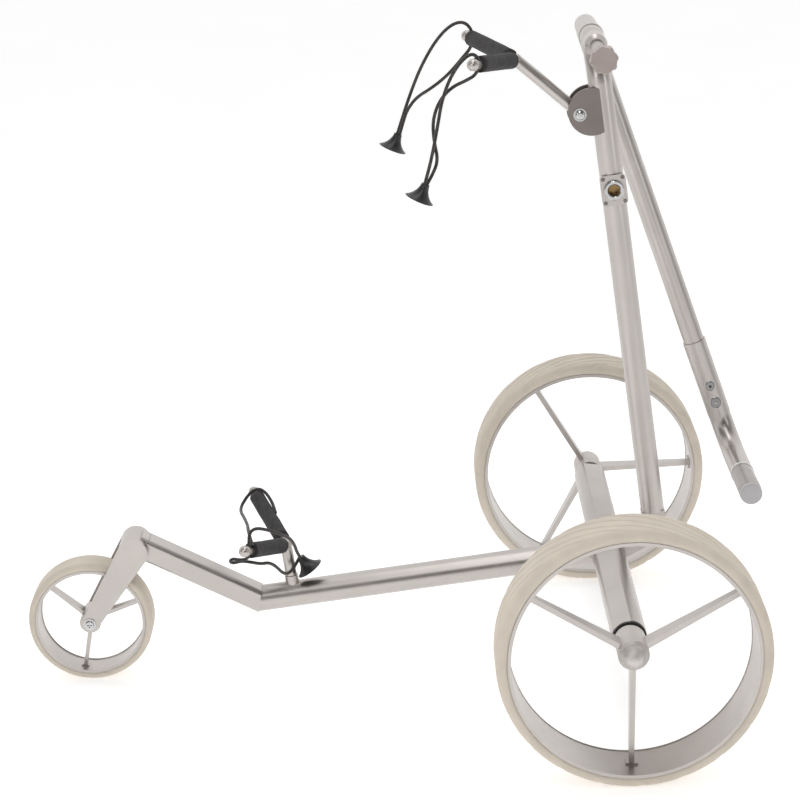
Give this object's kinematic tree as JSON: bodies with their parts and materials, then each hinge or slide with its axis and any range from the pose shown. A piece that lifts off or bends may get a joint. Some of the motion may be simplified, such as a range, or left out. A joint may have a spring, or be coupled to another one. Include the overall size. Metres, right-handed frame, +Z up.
{
  "type": "golf trolley",
  "caption": "Slim three-wheel folding golf trolley with a hinged post, bag cradles with elastic loops and a side handle folded down.",
  "frame": {"origin": "on the ground under the middle of the trolley", "axes": "+Z up, -Y towards the front wheel, +X to the left-hand side of the trolley"},
  "size_m": [0.68, 0.9, 0.79],
  "materials": {
    "frame_metal": "satin warm grey",
    "dark_metal": "satin dark grey",
    "bright_metal": "polished",
    "steel": "satin",
    "bearing_steel": "polished",
    "polished_alloy": "polished",
    "knob_metal": "satin",
    "brass": "satin",
    "tyre": "matte beige rubber",
    "foam": "matte foam",
    "cord": "woven elastic cord",
    "cone_rubber": "semi-gloss",
    "seal_rubber": "matte",
    "white_plastic": "gloss",
    "dial_plastic": "satin",
    "light_cap": "satin",
    "button_plastic": "satin"
  },
  "bodies": {
    "frame": {"base_tube": "frame_metal", "front_rail": "frame_metal", "fork_crown": "frame_metal", "fork_arms": "frame_metal", "front_axle": "steel", "front_axle_screws": "bright_metal", "axle_joint": "frame_metal", "axle_housing_left": "frame_metal", "axle_housing_right": "frame_metal", "drive_motors": "steel", "drive_gearboxes": "steel", "axle_bearings": "bearing_steel", "axle_seals": "seal_rubber", "post_hinge_pin": "steel", "lower_collar": "frame_metal"},
    "left_wheel": {"left_tyre": "tyre", "left_rim": "frame_metal", "left_spokes": "frame_metal", "left_hub": "frame_metal", "left_hub_cap": "frame_metal"},
    "right_wheel": {"right_tyre": "tyre", "right_rim": "frame_metal", "right_spokes": "frame_metal", "right_hub": "frame_metal", "right_hub_cap": "frame_metal"},
    "front_wheel": {"front_tyre": "tyre", "front_rim": "frame_metal", "front_spokes": "frame_metal", "front_hub": "frame_metal"},
    "post": {"post_tube": "frame_metal", "post_foot": "frame_metal", "pivot_collar": "frame_metal", "knob_boss": "frame_metal", "socket_flange": "frame_metal", "socket_ring": "polished_alloy", "socket_insert": "brass", "socket_screws": "steel", "bracket_plates": "dark_metal", "bracket_bolt": "bright_metal"},
    "knob": {"clamp_knob": "knob_metal", "clamp_spindle": "steel"},
    "handle": {"handle_tube": "frame_metal", "handle_sleeve": "frame_metal", "grip_elbow": "frame_metal", "grip_ring": "white_plastic"},
    "dial": {"speed_dial": "dial_plastic", "dial_cap": "light_cap"},
    "button_up": {"button_upper": "button_plastic"},
    "button_low": {"button_lower": "button_plastic"},
    "upper_bracket": {"upper_bracket_frame": "frame_metal", "upper_foam_sleeves": "foam", "upper_cord_left": "cord", "upper_cord_right": "cord", "upper_cones": "cone_rubber"},
    "lower_bracket": {"lower_bracket_frame": "frame_metal", "lower_foam_sleeves": "foam", "lower_cord_left": "cord", "lower_cord_right": "cord", "lower_cone": "cone_rubber"}
  },
  "joints": [
    {"name": "left_wheel_spin", "type": "hinge", "parent": "frame", "child": "left_wheel", "pos_m": [0, 0.26305, 0.1525], "axis": [1, 0, 0], "continuous": true},
    {"name": "right_wheel_spin", "type": "hinge", "parent": "frame", "child": "right_wheel", "pos_m": [0, 0.26305, 0.1525], "axis": [1, 0, 0], "continuous": true},
    {"name": "front_wheel_spin", "type": "hinge", "parent": "frame", "child": "front_wheel", "pos_m": [0, -0.37345, 0.0762], "axis": [1, 0, 0], "continuous": true},
    {"name": "post_fold", "type": "hinge", "parent": "frame", "child": "post", "pos_m": [0, 0.31992, 0.18207], "axis": [1, 0, 0], "range_deg": [0, 45]},
    {"name": "handle_fold", "type": "hinge", "parent": "post", "child": "handle", "pos_m": [0, 0.243, 0.7743], "axis": [1, 0, 0], "range_deg": [-6, 125]},
    {"name": "knob_turn", "type": "hinge", "parent": "post", "child": "knob", "pos_m": [0, 0.243, 0.7743], "axis": [1, 0, 0], "range_deg": [0, 540]},
    {"name": "upper_bracket_fold", "type": "hinge", "parent": "post", "child": "upper_bracket", "pos_m": [0, 0.22495, 0.69431], "axis": [1, 0, 0], "range_deg": [-10, 95]},
    {"name": "dial_turn", "type": "hinge", "parent": "handle", "child": "dial", "pos_m": [0, 0.43598, 0.22417], "axis": [1, 0, 0], "range_deg": [0, 270]},
    {"name": "button_upper_press", "type": "slide", "parent": "handle", "child": "button_up", "axis": [-1, 0, 0], "range_m": [0, 0.0015], "stiffness_N_per_m": 900, "springref_m": -0.0005},
    {"name": "button_lower_press", "type": "slide", "parent": "handle", "child": "button_low", "axis": [-1, 0, 0], "range_m": [0, 0.0012], "stiffness_N_per_m": 900, "springref_m": -0.0005},
    {"name": "lower_bracket_lift", "type": "slide", "parent": "frame", "child": "lower_bracket", "axis": [0, -0.1288, 0.9917], "range_m": [0, 0.025]}
  ]
}
